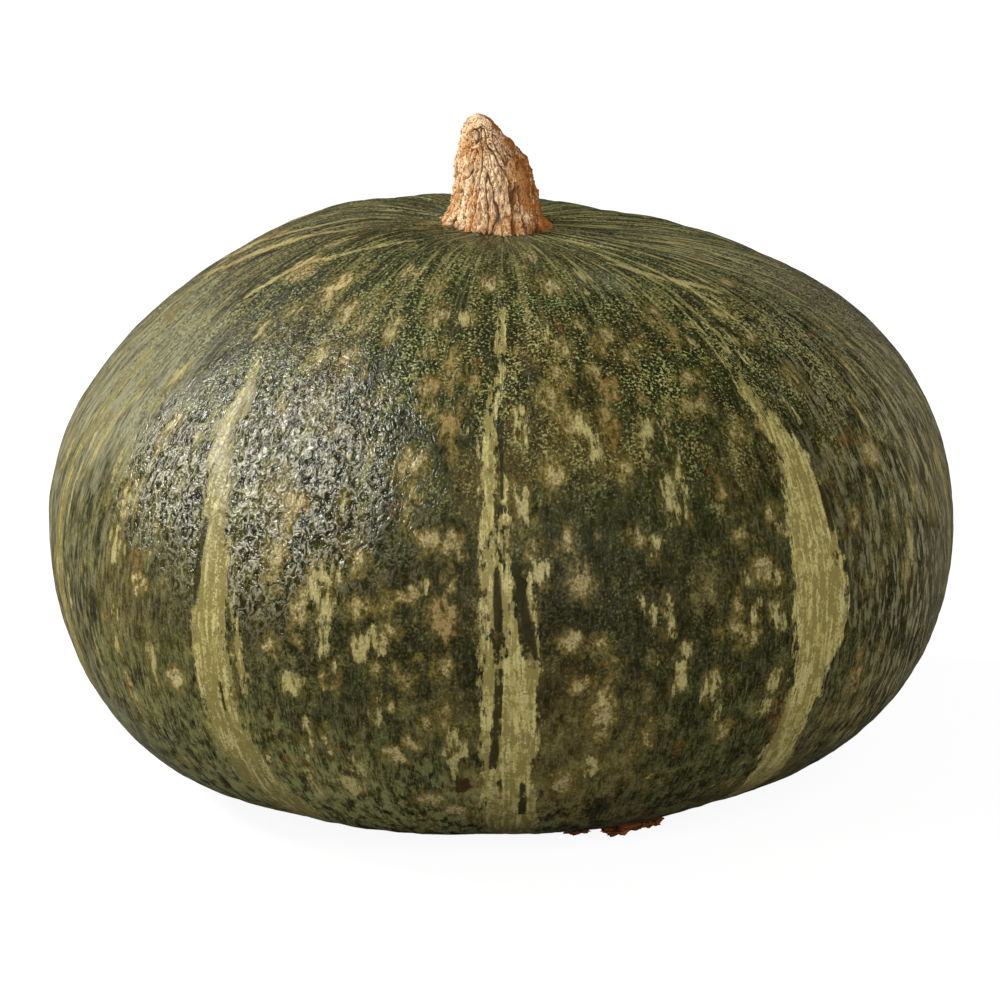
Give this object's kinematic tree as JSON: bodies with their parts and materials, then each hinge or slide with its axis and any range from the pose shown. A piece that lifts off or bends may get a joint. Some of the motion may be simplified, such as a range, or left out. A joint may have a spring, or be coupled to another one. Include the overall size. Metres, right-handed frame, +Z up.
{
  "type": "kabocha squash",
  "caption": "Squat dark-green winter squash with pale stripes, standing on its blossom end, with a short corky stem. For kitchen, shop and still-life scenes.",
  "frame": {"origin": "under the middle of the whole object's outline, on the surface the squash rests on", "axes": "+Z up, from blossom end to stem; -Y is the side with the narrow-topped stripe nearest the middle, +X its right"},
  "size_m": [0.1798, 0.179, 0.1352],
  "materials": {
    "rind": "waxy, finely crinkled rind, dark green with pale khaki-green stripes and tan flecks",
    "cork": "dry corky stem, tan, deeply fissured lengthwise"
  },
  "bodies": {
    "root": {"squash_body": "rind", "stem": "cork"}
  },
  "joints": []
}
